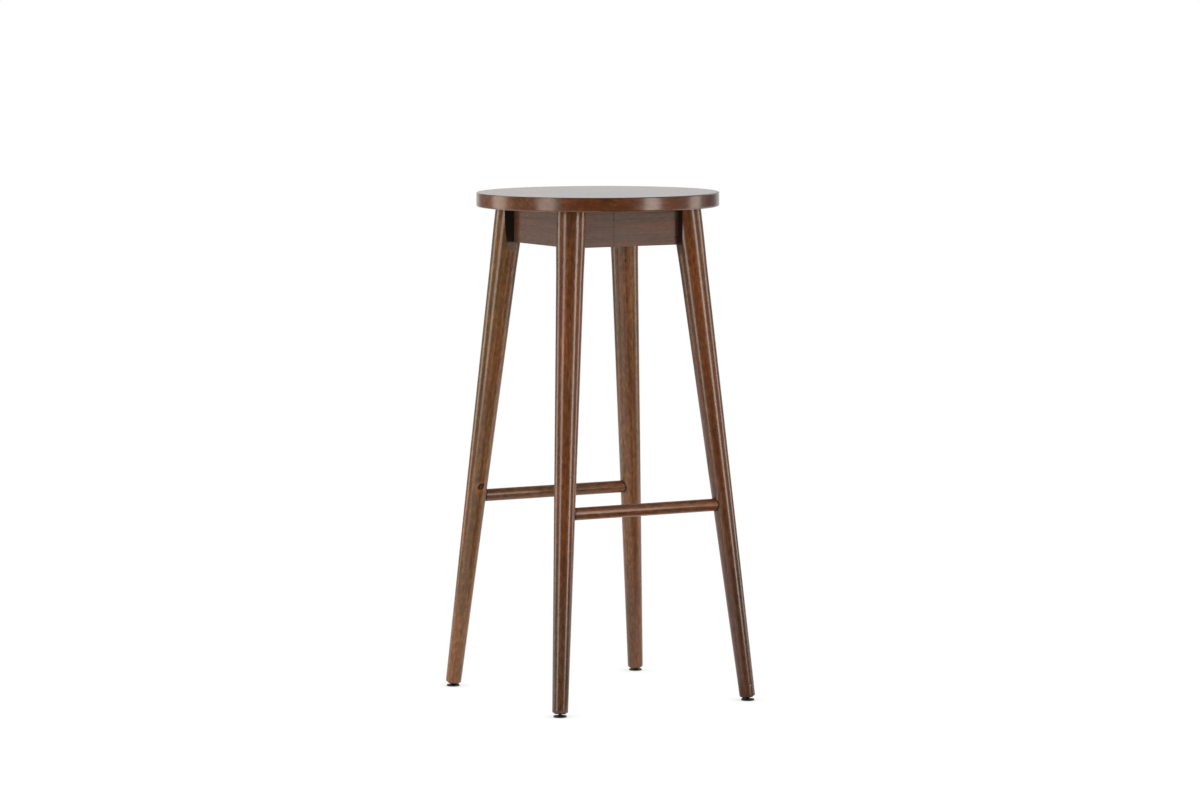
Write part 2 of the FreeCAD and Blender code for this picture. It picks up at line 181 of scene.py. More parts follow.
def makeWoodGroup():
    tree, given, result = startGroup(
        "woodGrain",
        [("Vector", "Vector", None),
         ("Dark", "Color", (0.04, 0.015, 0.006, 1)),
         ("Middle", "Color", (0.11, 0.045, 0.018, 1)),
         ("Light", "Color", (0.19, 0.085, 0.035, 1)),
         ("Pith", "Vector", (0.0, 0.09, 0.0)),
         ("Ring Width", "Float", 0.004),
         ("Rings", "Float", 0.3),
         ("Streaks", "Float", 0.5),
         ("Pores", "Float", 0.5),
         ("Mottle", "Float", 0.5),
         ("Drift", "Float", 1.0)],
        [("Color", "Color"), ("Roughness", "Float"), ("Height", "Float")])
    wander = noise(tree, given["Vector"], 1.0, fibres["wander"], 2, 0.5, "Color")
    bent = vectorCalc(tree, "ADD", given["Vector"], jitter(tree, wander, grainLook["wanderReach"]))

    fromPith = vectorCalc(tree, "MULTIPLY", vectorCalc(tree, "SUBTRACT", bent, given["Pith"]), (1, 1, 0))
    ringCount = calc(tree, "DIVIDE", measure(tree, "LENGTH", fromPith), given["Ring Width"])
    unevenness = noise(tree, bent, 1.0, fibres["unevenRings"], 2)
    ringCount = addUp(tree, (ringCount, 1.0), (unevenness, grainLook["ringUnevenness"]))
    phase = calc(tree, "FRACT", ringCount)
    lateWood = calc(tree, "MULTIPLY", ease(tree, phase, *grainLook["ringRise"]),
                    ease(tree, phase, *grainLook["ringFall"]))
    yearly = addNode(tree, "TexWhiteNoise", {"noise_dimensions": "1D"},
                     {"W": calc(tree, "FLOOR", ringCount)}).outputs["Value"]
    rings = calc(tree, "MULTIPLY", lateWood, calc(tree, "ADD", calc(tree, "MULTIPLY", yearly, 0.7), 0.3))
    rings = calc(tree, "MULTIPLY", rings, given["Rings"])

    broad = noise(tree, bent, 1.0, fibres["broad"], 3, 0.55)
    fine = noise(tree, bent, 1.0, fibres["fine"], 3, 0.6)
    hair = noise(tree, bent, 1.0, fibres["hair"], 2, 0.5)
    streaks = addUp(tree, (ease(tree, broad, 0.3, 0.72), 0.55), (ease(tree, fine, 0.28, 0.74), 0.45))
    streaks = calc(tree, "MULTIPLY", calc(tree, "SUBTRACT", streaks, 0.5), given["Streaks"])

    patches = noise(tree, given["Vector"], 1.0, fibres["patches"], 3, 0.55)
    flecks = noise(tree, given["Vector"], 1.0, fibres["flecks"], 2, 0.6)
    mottle = addUp(tree, (patches, 0.3), (flecks, 0.7))
    mottle = calc(tree, "MULTIPLY", calc(tree, "SUBTRACT", mottle, 0.5), given["Mottle"])

    tone = addUp(tree, (1.0, 0.5), (streaks, grainLook["streakGain"]), (mottle, grainLook["mottleGain"]))
    tone = calc(tree, "SUBTRACT", tone, rings, True)
    lower = mixColour(tree, ease(tree, tone, 0.0, 0.55), given["Dark"], given["Middle"])
    colour = mixColour(tree, ease(tree, tone, 0.45, 1.0), lower, given["Light"])
    redness = noise(tree, bent, 1.0, fibres["redness"], 3, 0.6)
    hue = mixColour(tree, ease(tree, redness, 0.36, 0.64), grainLook["redStain"], grainLook["oliveStain"])
    colour = tinted(tree, colour, mixColour(tree, given["Drift"], (1, 1, 1, 1), hue))
    hairShade = calc(tree, "ADD", calc(tree, "MULTIPLY", hair, 0.5), 0.75)
    hairTint = addNode(tree, "CombineColor", None, {0: hairShade, 1: hairShade, 2: hairShade}).outputs[0]
    colour = tinted(tree, colour, hairTint)

    poreField = noise(tree, bent, 1.0, fibres["pores"], 1, 0.5)
    poreRows = ease(tree, broad, 0.62, 0.34)
    pores = calc(tree, "MULTIPLY", ease(tree, poreField, *grainLook["poreSize"]),
                 calc(tree, "ADD", poreRows, 0.35))
    pores = calc(tree, "MULTIPLY", pores, given["Pores"], True)
    colour = mixColour(tree, pores, colour, given["Dark"])

    rough = addUp(tree, (fine, 0.16), (patches, 0.14), (1.0, grainLook["baseRoughness"]), (pores, 0.2))
    height = addUp(tree, (fine, 0.35), (pores, -1.0), (hair, 0.12))
    return endGroup(tree, result, {"Color": colour, "Roughness": rough, "Height": height})


# a knot: fibres part round it, a dark rim with a paler heart, a warm halo of stain

knotShape = {
    "raggedness": (0.0048, 0.0048, 0.0048),
    "raggedScale": 330.0,
    "push": 0.55,               # how far the fibres part, as a share of the way to the heart
    "pushReach": 4.5,           # in knot sizes, like the ones below
    "rim": (1.15, 0.85),
    "paleHeart": (0.15, 0.6),
    "halo": (2.7, 1.0),
}


def makeKnotGroup():
    tree, given, result = startGroup(
        "knot",
        [("Vector", "Vector", None),
         ("Centre", "Vector", (0, 0, 0)),
         ("Size", "Vector", (0.003, 0.003, 0.0035)),
         ("Facing", "Vector", (1, 0, 0)),
         ("Lean", "Float", 0.5)],
        [("Vector", "Vector"), ("Heart", "Float"), ("Halo", "Float")])
    offset = vectorCalc(tree, "SUBTRACT", given["Vector"], given["Centre"])
    ragged = noise(tree, offset, knotShape["raggedScale"], (1, 1, 1), 3, 0.6, "Color")
    ragged = vectorCalc(tree, "ADD", offset, jitter(tree, ragged, knotShape["raggedness"]))
    leaning = {"Vector": ragged, "Axis": given["Facing"], "Angle": given["Lean"]}
    leaning = addNode(tree, "VectorRotate", {"rotation_type": "AXIS_ANGLE"}, leaning).outputs[0]
    reach = measure(tree, "LENGTH", vectorCalc(tree, "DIVIDE", leaning, given["Size"]))
    push = ease(tree, reach, knotShape["pushReach"], 0.6, 0.0, knotShape["push"])
    parted = {0: vectorCalc(tree, "MULTIPLY", offset, (1, 1, 0)), "Scale": push}
    parted = addNode(tree, "VectorMath", {"operation": "SCALE"}, parted).outputs[0]
    core = ease(tree, reach, *knotShape["paleHeart"], 0.6, 1.0)
    return endGroup(tree, result, {
        "Vector": vectorCalc(tree, "SUBTRACT", given["Vector"], parted),
        "Heart": calc(tree, "MULTIPLY", ease(tree, reach, *knotShape["rim"]), core),
        "Halo": ease(tree, reach, *knotShape["halo"]),
    })


# rubbed edges, from the difference between the rounded and the true normal

def makeEdgeGroup():
    tree, given, result = startGroup(
        "edgeRub",
        [("Vector", "Vector", None), ("Width", "Float", 0.0012)],
        [("Edge", "Float")])
    rounded = addNode(tree, "Bevel", {"samples": 4}, {"Radius": given["Width"]}).outputs[0]
    same = measure(tree, "DOT_PRODUCT", rounded, addNode(tree, "NewGeometry").outputs["Normal"])
    broken = noise(tree, given["Vector"], 180.0, (1, 1, 1), 3, 0.6)
    edge = calc(tree, "MULTIPLY", ease(tree, same, 0.995, 0.9), ease(tree, broken, 0.3, 0.62))
    return endGroup(tree, result, {"Edge": edge})


# a tint that runs from the rails down to the foot; on the legs it carries painted shade and a painted floor
# reflection as well as wood tone

footFade = {
    "heights": (0.52, 0.16),
    "raggedness": 0.16,
    "raggedScale": (30, 30, 6),
}


def makeFootTintGroup():
    tree, given, result = startGroup(
        "footTint",
        [("Vector", "Vector", None), ("At Rails", "Color", (1, 1, 1, 1)), ("At Foot", "Color", (1, 1, 1, 1))],
        [("Color", "Color")])
    ragged = noise(tree, given["Vector"], 1.0, footFade["raggedScale"])
    height = addUp(tree, (axisOf(tree, given["Vector"], "Z"), 1.0), (ragged, footFade["raggedness"]))
    low = ease(tree, height, *footFade["heights"])
    return endGroup(tree, result, {"Color": mixColour(tree, low, given["At Rails"], given["At Foot"])})


# the legs' flats: painted shade in the recess beside the rails, and pale speckled tips below them, partly bare
# wood and partly a painted reflection

legFlat = {
    "squareOn": (0.9985, 0.9995),       # how squarely a face looks along X or Y before it counts as a flat
    "fade": 0.004,
    # painted shade: the flat's strip beside the rail, darkened where shadow falls in the recess
    "paintedRecessShade": (0.020, 0.010, 0.005, 1),
    # the tips' speckle, pale at its light end: partly bare wood, partly a painted reflection of the white
    # surroundings
    "speckles": (0.38, 0.62),
    "speckleDark": (0.035, 0.024, 0.017, 1),
    "speckleLight": (0.19, 0.14, 0.105, 1),
    "tipShare": 0.75,
    "tipDullness": 0.85,
    "roughening": 0.35,
}


def makeLegFlatGroup():
    tree, given, result = startGroup(
        "legFlat",
        [("Vector", "Vector", None),
         ("Color", "Color", (0.1, 0.1, 0.1, 1)),
         ("Roughness", "Float", 0.4),
         ("Rail Bottom", "Float", 0.67)],
        [("Color", "Color"), ("Roughness", "Float"), ("Bare", "Float")])
    normal = addNode(tree, "NewGeometry").outputs["True Normal"]
    squareOn = calc(tree, "MAXIMUM", calc(tree, "ABSOLUTE", axisOf(tree, normal, "X")),
                    calc(tree, "ABSOLUTE", axisOf(tree, normal, "Y")))
    flat = ease(tree, squareOn, *legFlat["squareOn"])
    ragged = noise(tree, given["Vector"], 300.0)
    height = addUp(tree, (axisOf(tree, given["Vector"], "Z"), 1.0), (ragged, legFlat["fade"]))
    fadeEnd = calc(tree, "ADD", given["Rail Bottom"], legFlat["fade"])
    shadedFlat = calc(tree, "MULTIPLY", flat, ease(tree, height, given["Rail Bottom"], fadeEnd))
    tip = calc(tree, "SUBTRACT", flat, shadedFlat)

    # painted shade on the flat beside the rail
    colour = mixColour(tree, shadedFlat, given["Color"], legFlat["paintedRecessShade"])
    # pale speckled tips below the rails: partly bare wood, partly a painted reflection
    speckled = ease(tree, noise(tree, given["Vector"], 900.0), *legFlat["speckles"])
    paleTipAndReflection = mixColour(tree, speckled, legFlat["speckleDark"], legFlat["speckleLight"])
    colour = mixColour(tree, calc(tree, "MULTIPLY", tip, legFlat["tipShare"]), colour, paleTipAndReflection)
    bare = calc(tree, "ADD", calc(tree, "MULTIPLY", tip, legFlat["tipDullness"]), shadedFlat, True)
    rough = calc(tree, "ADD", given["Roughness"], calc(tree, "MULTIPLY", bare, legFlat["roughening"]), True)
    return endGroup(tree, result, {"Color": colour, "Roughness": rough, "Bare": bare})


# painted shade where a stretcher enters its two legs, standing in for the shadow in the gap round its end

jointRing = {
    "inner": 0.0006,            # clear of the leg's surface
    "outer": 0.0024,
    "strength": 0.85,
    # painted shade, darkest next to the leg's surface
    "paintedGapShade": (0.008, 0.004, 0.003, 1),
}


def makeJointRingGroup():
    tree, given, result = startGroup(
        "jointRing",
        [("Vector", "Vector", None),
         ("Left Foot", "Vector", (0, 0, 0)),
         ("Left Up", "Vector", (0, 0, 1)),
         ("Right Foot", "Vector", (0, 0, 0)),
         ("Right Up", "Vector", (0, 0, 1)),
         ("Leg Radius", "Float", 0.015)],
        [("Ring", "Float")])
    start = calc(tree, "ADD", given["Leg Radius"], jointRing["outer"])
    end = calc(tree, "ADD", given["Leg Radius"], jointRing["inner"])
    ring = 0.0
    for side in ("Left", "Right"):
        fromFoot = vectorCalc(tree, "SUBTRACT", given["Vector"], given[side + " Foot"])
        away = measure(tree, "LENGTH", vectorCalc(tree, "CROSS_PRODUCT", fromFoot, given[side + " Up"]))
        ring = calc(tree, "MAXIMUM", ring, ease(tree, away, start, end))
    return endGroup(tree, result, {"Ring": calc(tree, "MULTIPLY", ring, jointRing["strength"])})


# moulded plastic: fine spark texture, scuffs where it slides

def makeMouldedGroup():
    tree, given, result = startGroup(
        "moulded",
        [("Vector", "Vector", None),
         ("Base", "Color", (0.01, 0.01, 0.011, 1)),
         ("Scuff", "Color", (0.06, 0.06, 0.06, 1)),
         ("Wear", "Float", 0.4)],
        [("Color", "Color"), ("Roughness", "Float"), ("Height", "Float")])
    spark = noise(tree, given["Vector"], 2600.0, (1, 1, 1), 2, 0.6)
    cloud = noise(tree, given["Vector"], 160.0, (1, 1, 1), 3, 0.6)
    scratch = noise(tree, given["Vector"], 1.0, (300, 2400, 900), 2, 0.5)
    scuffed = calc(tree, "MULTIPLY", ease(tree, scratch, 0.56, 0.72), ease(tree, cloud, 0.42, 0.66))
    scuffed = calc(tree, "MULTIPLY", scuffed, given["Wear"], True)
    return endGroup(tree, result, {
        "Color": mixColour(tree, scuffed, given["Base"], given["Scuff"]),
        "Roughness": addUp(tree, (cloud, 0.22), (scuffed, 0.25), (1.0, 0.34)),
        "Height": calc(tree, "SUBTRACT", spark, scuffed),
    })


# zinc plating: cool grey with a soft bloom of crystals

def makeZincGroup():
    tree, given, result = startGroup(
        "zincPlate",
        [("Vector", "Vector", None),
         ("Bright", "Color", (0.62, 0.63, 0.62, 1)),
         ("Dull", "Color", (0.36, 0.37, 0.38, 1))],
        [("Color", "Color"), ("Roughness", "Float"), ("Height", "Float")])
    crystals = addNode(tree, "TexVoronoi", {"feature": "F1"},
                       {"Vector": given["Vector"], "Scale": 900.0}).outputs["Distance"]
    cloud = noise(tree, given["Vector"], 240.0, (1, 1, 1), 3, 0.6)
    dull = calc(tree, "ADD", calc(tree, "MULTIPLY", ease(tree, cloud, 0.35, 0.7), 0.7),
                calc(tree, "MULTIPLY", crystals, 0.3), True)
    return endGroup(tree, result, {
        "Color": mixColour(tree, dull, given["Bright"], given["Dull"]),
        "Roughness": addUp(tree, (dull, 0.3), (1.0, 0.26)),
        "Height": addUp(tree, (cloud, 1.0), (crystals, 0.4)),
    })


woodGroup = makeWoodGroup()
knotGroup = makeKnotGroup()
edgeGroup = makeEdgeGroup()
footTintGroup = makeFootTintGroup()
legFlatGroup = makeLegFlatGroup()
jointRingGroup = makeJointRingGroup()
mouldedGroup = makeMouldedGroup()
zincGroup = makeZincGroup()
print("shared node groups ready")


# materials

def newMaterial(name):
    material = bpy.data.materials.new(name)
    material.use_nodes = True
    tree = material.node_tree
    tree.nodes.clear()
    shader = addNode(tree, "BsdfPrincipled")
    output = addNode(tree, "OutputMaterial")
    tree.links.new(shader.outputs[0], output.inputs[0])
    place = addNode(tree, "TexCoord").outputs["Object"]
    return material, tree, shader, place


def finishMaterial(tree, shader, skin, bumpDistance, sockets):  # skin gives colour, roughness and height
    bump = addNode(tree, "Bump", None, {"Height": skin["Height"], "Distance": bumpDistance, "Strength": 1.0})
    tree.links.new(bump.outputs[0], shader.inputs["Normal"])
    for name, value in sockets.items():
        shader.inputs[name].default_value = value
    tree.links.new(skin["Color"], shader.inputs["Base Color"])
    tree.links.new(skin["Roughness"], shader.inputs["Roughness"])


def startWood(name, origin, fibres, wood, turn=0.0, knots=()):
    material, tree, shader, place = newMaterial(name)
    lie = Vector(fibres).normalized().to_track_quat("Z", "Y").to_matrix() @ Matrix.Rotation(turn, 3, "Z")
    vector = addNode(tree, "Mapping", {"vector_type": "TEXTURE"},
                     {"Vector": place, "Location": origin, "Rotation": lie.to_euler()}).outputs[0]
    toWood = (Matrix.Translation(origin) @ lie.to_4x4()).inverted()
    spots = []
    for knot in knots:
        facing = Vector((knot["facing"][0], knot["facing"][1], 0)).normalized()
        spot = useGroup(tree, knotGroup, {
            "Vector": vector, "Centre": toWood @ Vector(knot["at"]), "Size": knot["size"],
            "Facing": lie.inverted() @ facing, "Lean": knot["lean"]})
        vector = spot["Vector"]
        spots.append((spot, knot))
    grain = useGroup(tree, woodGroup, {
        "Vector": vector, "Dark": wood["dark"], "Middle": wood["middle"], "Light": wood["light"],
        "Pith": wood["pith"], "Ring Width": wood["ringWidth"], "Rings": wood["rings"],
        "Streaks": wood["streaks"], "Pores": wood["pores"], "Mottle": wood["mottle"],
        "Drift": wood["drift"]})
    return {
        "material": material, "tree": tree, "shader": shader, "place": place, "wood": wood, "knots": spots,
        "Color": grain["Color"], "Height": grain["Height"], "bare": None,
        "Roughness": calc(tree, "ADD", grain["Roughness"], wood["roughShift"], True),
    }


def drawKnots(paint):
    tree = paint["tree"]
    for spot, knot in paint["knots"]:
        halo = calc(tree, "MULTIPLY", spot["Halo"], knot["haloStrength"])
        paint["Color"] = mixColour(tree, halo, paint["Color"], knot["halo"])
        paint["Color"] = mixColour(tree, spot["Heart"], paint["Color"], knot["heart"])


def rubEdges(paint):
    tree, wood = paint["tree"], paint["wood"]
    edge = useGroup(tree, edgeGroup, {"Vector": paint["place"], "Width": wood["edgeWidth"]})["Edge"]
    wear = calc(tree, "MULTIPLY", edge, wood["edgeWear"])
    paint["Color"] = mixColour(tree, wear, paint["Color"], wood["edgeTone"])


def finishWood(paint):
    tree, shader, wood = paint["tree"], paint["shader"], paint["wood"]
    finishMaterial(tree, shader, paint, wood["bump"], wood["lacquer"])
    if paint["bare"] is not None:  # the lacquer thins out where the wood is bare
        lacquered = calc(tree, "SUBTRACT", 1.0, paint["bare"])
        coat = calc(tree, "MULTIPLY", lacquered, wood["lacquer"]["Coat Weight"])
        tree.links.new(coat, shader.inputs["Coat Weight"])
    return paint["material"]


def give(node, material):
    mesh = cadNodes[node].data
    mesh.materials.clear()
    mesh.materials.append(material)


satinLacquer = {
    "Coat Weight": 0.85,
    "Coat Roughness": 0.17,
    "Coat IOR": 1.5,
    "IOR": 1.5,
    "Specular IOR Level": 0.25,
}


# seat

seatWood = {
    "dark": (0.052, 0.015, 0.0035, 1),
    "middle": (0.103, 0.030, 0.0060, 1),
    "light": (0.172, 0.062, 0.0155, 1),
    "pith": (0.05, -0.16, 0.0),
    "ringWidth": 0.0065,
    "rings": 0.18,
    "streaks": 0.6,
    "pores": 0.5,
    "mottle": 0.6,
    "drift": 0.6,
    "edgeWidth": 0.0011,
    "edgeWear": 0.35,
    "edgeTone": (0.20, 0.095, 0.045, 1),
    "roughShift": 0.0,
    "bump": 0.00005,
    "lacquer": dict(satinLacquer, **{"Coat Roughness": 0.19}),
}

seatBoards = {
    "along": 3.1,                       # how far along the fibres the piece lies from the wood's origin
    "darkerTowards": (0.875, -0.483, 0.0),
    "paleFade": (-0.15, -0.02),
    "darkFade": (0.10, 0.17),
    "raggedness": 0.05,
    "raggedScale": (8, 40, 40),
    "paleSide": (1.42, 1.60, 1.65, 1),
    "darkSide": (0.66, 0.72, 0.85, 1),
}


def tintBoards(paint):  # the seat's boards run from a paler side to a darker one
    tree, place = paint["tree"], paint["place"]
    ragged = calc(tree, "SUBTRACT", noise(tree, place, 1.0, seatBoards["raggedScale"]), 0.5)
    across = measure(tree, "DOT_PRODUCT", place, seatBoards["darkerTowards"])
    across = addUp(tree, (across, 1.0), (ragged, seatBoards["raggedness"]))
    tint = mixColour(tree, ease(tree, across, *seatBoards["paleFade"]), seatBoards["paleSide"], (1, 1, 1, 1))
    tint = mixColour(tree, ease(tree, across, *seatBoards["darkFade"]), tint, seatBoards["darkSide"])
    paint["Color"] = tinted(tree, paint["Color"], tint)


def paintSeat():
    start = middle("seat") - Vector((seatBoards["along"], 0, 0))
    paint = startWood("seatWood", start, (1, 0, 0), seatWood)
    tintBoards(paint)
    rubEdges(paint)
    give("seat", finishWood(paint))


# legs

legWood = dict(seatWood)
legWood.update({
    "dark": (0.080, 0.027, 0.007, 1),
    "middle": (0.132, 0.044, 0.011, 1),
    "light": (0.200, 0.078, 0.021, 1),
    "ringWidth": 0.0045,
    "rings": 0.22,
    "streaks": 0.6,
    "mottle": 1.25,
    "drift": 1.0,
    "edgeWidth": 0.0008,
    "lacquer": satinLacquer,
})

legTaper = {
    "atFloor": 0.0117,
    "perMetre": 0.01351,
}

bigKnot = {
    "height": 0.3060,
    "facing": (-0.05, -1.0),
    "size": (0.0043, 0.0043, 0.0063),
    "lean": 0.9,
    "heart": (0.009, 0.006, 0.006, 1),
    "halo": (0.30, 0.085, 0.018, 1),
    "haloStrength": 0.6,
}

faintKnot = {
    "height": 0.3165,
    "facing": (-0.34, -0.94),
    "size": (0.0028, 0.0028, 0.0030),
    "lean": 0.2,
    "heart": (0.075, 0.035, 0.014, 1),
    "halo": (0.10, 0.045, 0.015, 1),
    "haloStrength": 0.35,
}

pinKnot = {
    "height": 0.640,
    "facing": (-0.45, -0.89),
    "size": (0.0018, 0.0018, 0.0024),
    "lean": 0.2,
    "heart": (0.015, 0.008, 0.005, 1),
    "halo": (0.16, 0.06, 0.02, 1),
    "haloStrength": 0.4,
}

scuff = {                               # drawn like a knot, but pale
    "height": 0.0235,
    "facing": (0.10, -0.99),
    "size": (0.0011, 0.0011, 0.0009),
    "lean": 0.0,
    "heart": (0.42, 0.36, 0.34, 1),
    "halo": (0.02, 0.01, 0.008, 1),
    "haloStrength": 0.6,
}

# the tints: on the front legs darker towards the foot, painted shade; on the rear legs paler and more olive,
# partly the wood's own tone and partly a painted reflection of the floor
legBlanks = {                           # "below" in metres along the fibres, "turn" in degrees round them
    "front_left": {
        "below": 0.0,
        "turn": 0,
        "pith": (0.012, 0.030, 0.0),
        "atRails": (1.08, 1.06, 1.02, 1),
        "atFoot": (0.68, 0.74, 0.94, 1),
        "knots": [],
    },
    "front_right": {
        "below": 1.7,
        "turn": 70,
        "pith": (-0.008, 0.036, 0.0),
        "atRails": (0.90, 0.92, 0.92, 1),
        "atFoot": (0.58, 0.66, 0.85, 1),
        "knots": [scuff],
    },
    "rear_right": {
        "below": 3.4,
        "turn": 140,
        "pith": (-0.028, 0.042, 0.0),
        "atRails": (1.06, 1.34, 1.40, 1),
        "atFoot": (1.06, 1.16, 1.10, 1),
        "knots": [pinKnot],
    },
    "rear_left": {
        "below": 5.1,
        "turn": 210,
        "pith": (-0.048, 0.048, 0.0),
        "atRails": (1.18, 1.46, 1.35, 1),
        "atFoot": (1.28, 1.60, 1.45, 1),
        "knots": [bigKnot, faintKnot],
    },
}


def legRadius(height):
    return legTaper["atFloor"] + legTaper["perMetre"] * height


def onLeg(knot, foot, up):  # the knot with its place on the leg's surface
    onAxis = foot + up * ((knot["height"] - foot.z) / up.z)
    facing = Vector((knot["facing"][0], knot["facing"][1], 0)).normalized()
    return dict(knot, at=onAxis + facing * legRadius(knot["height"]))


def tintFoot(paint, blank):
    tint = useGroup(paint["tree"], footTintGroup, {
        "Vector": paint["place"], "At Rails": blank["atRails"], "At Foot": blank["atFoot"]})
    paint["Color"] = tinted(paint["tree"], paint["Color"], tint["Color"])


# paints shade on the legs' flats beside the rails and pale tips below them, and thins the lacquer on both
def paintFlatShadeAndTips(paint):
    flat = useGroup(paint["tree"], legFlatGroup, {
        "Vector": paint["place"], "Color": paint["Color"], "Roughness": paint["Roughness"],
        "Rail Bottom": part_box("apron_rail_front")[0][2]})
    paint["Color"] = flat["Color"]
    paint["Roughness"] = flat["Roughness"]
    paint["bare"] = flat["Bare"]


def paintLegs():
    for corner in corners:
        blank = legBlanks[corner]
        foot, up = legLine(corner)
        knots = [onLeg(knot, foot, up) for knot in blank["knots"]]
        wood = dict(legWood, pith=blank["pith"])
        paint = startWood("legWood_" + corner, foot - up * blank["below"], up, wood,
                          math.radians(blank["turn"]), knots)
        tintFoot(paint, blank)
        drawKnots(paint)
        rubEdges(paint)
        paintFlatShadeAndTips(paint)
        give("leg_" + corner, finishWood(paint))


# rails

railWood = dict(legWood)
railWood.update({
    "dark": (0.060, 0.026, 0.012, 1),
    "middle": (0.112, 0.046, 0.022, 1),
    "light": (0.170, 0.075, 0.036, 1),
    "rings": 0.15,
    "streaks": 0.7,
    "mottle": 0.7,
    "roughShift": 0.2,
    "lacquer": {
        "Coat Weight": 0.6,
        "Coat Roughness": 0.5,
        "Coat IOR": 1.5,
        "IOR": 1.5,
        "Specular IOR Level": 0.45,
    },
})

railBlanks = {                          # "turn" in radians from here on
    "front": {"fibres": (1, 0, 0), "along": 0.9, "turn": 0.0, "pith": (-0.02, 0.07, 0.0)},
    "right": {"fibres": (0, 1, 0), "along": 2.2, "turn": 0.2, "pith": (0.01, 0.07, 0.0)},
    "rear": {"fibres": (1, 0, 0), "along": 3.5, "turn": 0.4, "pith": (0.04, 0.07, 0.0)},
    "left": {"fibres": (0, 1, 0), "along": 4.8, "turn": 0.6, "pith": (0.07, 0.07, 0.0)},
}

seamOnRail = {
    "x": -0.027,
    "wobble": 0.0006,
    "wobbleScale": 260.0,
    "lineFade": (0.0020, 0.0008),
    "strength": 0.62,
    "pitDrops": (0.0045, 0.015),        # below the rail's top edge
    "pitFade": (0.002625, 0.00147),
    "colour": (0.018, 0.008, 0.005, 1),
}


def drawSeam(paint, low, high):  # a dark glue line down the rail's face, with two small filled pits on it
    tree, place = paint["tree"], paint["place"]
    wobble = calc(tree, "SUBTRACT", noise(tree, place, seamOnRail["wobbleScale"]), 0.5)
    line = addUp(tree, (axisOf(tree, place, "X"), 1.0), (wobble, seamOnRail["wobble"]))
    away = calc(tree, "ABSOLUTE", calc(tree, "SUBTRACT", line, seamOnRail["x"]))
    mask = calc(tree, "MULTIPLY", ease(tree, away, *seamOnRail["lineFade"]), seamOnRail["strength"])
    for drop in seamOnRail["pitDrops"]:
        gap = measure(tree, "DISTANCE", place, (seamOnRail["x"], low[1], high[2] - drop))
        mask = calc(tree, "MAXIMUM", mask, ease(tree, gap, *seamOnRail["pitFade"]))
    paint["Color"] = mixColour(tree, mask, paint["Color"], seamOnRail["colour"])


def paintRails():
    for side, blank in railBlanks.items():
        node = "apron_rail_" + side
        start = middle(node) - Vector(blank["fibres"]) * blank["along"]
        wood = dict(railWood, pith=blank["pith"])
        paint = startWood("railWood_" + side, start, blank["fibres"], wood, blank["turn"])
        if side == "front":
            drawSeam(paint, *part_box(node))
        rubEdges(paint)
        give(node, finishWood(paint))


# stretchers

stretcherWood = dict(legWood)
stretcherWood.update({
    "lacquer": dict(satinLacquer, **{"Coat Weight": 0.72, "Specular IOR Level": 0.2}),
})

stretcherBlanks = {
    "front": {"along": 2.1, "turn": 0.0, "pith": (0.02, 0.03, 0.0)},
    "rear": {"along": 3.8, "turn": 1.1, "pith": (0.02, 0.05, 0.0)},
}


def shadeJoints(paint, side):
    leftFoot, leftUp = legLine(side + "_left")
    rightFoot, rightUp = legLine(side + "_right")
    ring = useGroup(paint["tree"], jointRingGroup, {
        "Vector": paint["place"], "Left Foot": leftFoot, "Left Up": leftUp, "Right Foot": rightFoot,
        "Right Up": rightUp, "Leg Radius": legRadius(middle("footrest_stretcher_" + side).z)})["Ring"]
    # painted shade in the gap where the stretcher meets each leg; the lacquer is thinned there too
    paint["Color"] = mixColour(paint["tree"], ring, paint["Color"], jointRing["paintedGapShade"])
    paint["bare"] = ring


def paintStretchers():
    for side, blank in stretcherBlanks.items():
        node = "footrest_stretcher_" + side
        start = middle(node) - Vector((blank["along"], 0, 0))
        wood = dict(stretcherWood, pith=blank["pith"])
        paint = startWood("stretcherWood_" + side, start, (1, 0, 0), wood, blank["turn"])
        shadeJoints(paint, side)
        rubEdges(paint)
        give(node, finishWood(paint))


# corner blocks and dowels

paleWood = dict(legWood)
paleWood.update({
    "dark": (0.30, 0.185, 0.10, 1),
    "middle": (0.42, 0.28, 0.165, 1),
    "light": (0.52, 0.37, 0.23, 1),
    "rings": 0.4,
    "streaks": 0.4,
    "mottle": 0.4,
    "pores": 0.25,
    "drift": 0.3,
    "edgeWear": 0.3,
    "edgeTone": (0.66, 0.5, 0.34, 1),
    "roughShift": 0.3,
    "bump": 0.00015,
    "lacquer": {"IOR": 1.45},
})

blockBlanks = {
    "front_left": {"fibres": (1, 1, 0), "above": 0.5, "turn": 0.0},
    "front_right": {"fibres": (1, -1, 0), "above": 1.2, "turn": 0.4},
    "rear_right": {"fibres": (1, 1, 0), "above": 1.9, "turn": 0.8},
    "rear_left": {"fibres": (1, -1, 0), "above": 2.6, "turn": 1.2},
}


def paintBlocks():
    for corner, blank in blockBlanks.items():
        node = "corner_block_" + corner
        start = middle(node) - Vector((0, 0, blank["above"]))
        paint = startWood("blockWood_" + corner, start, blank["fibres"], paleWood, blank["turn"])
        rubEdges(paint)
        give(node, finishWood(paint))


def paintDowels():
    start = Vector(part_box("rail_dowels")[0])
    paint = startWood("dowelWood", start, (1, 0, 0), paleWood)
    rubEdges(paint)
    give("rail_dowels", finishWood(paint))


# fasteners and glides

zincSteel = {
    "nodes": ["leg_bolts", "leg_bolt_washers", "leg_bolt_nuts", "seat_screws", "block_screws"],
    "bump": 0.00004,
    "shader": {"Metallic": 1.0},
}

glidePlastic = {
    "wear": {"glide_stem": 0.15, "glide_pad": 0.7},
    "bump": 0.00004,
    "shader": {"IOR": 1.5},
}


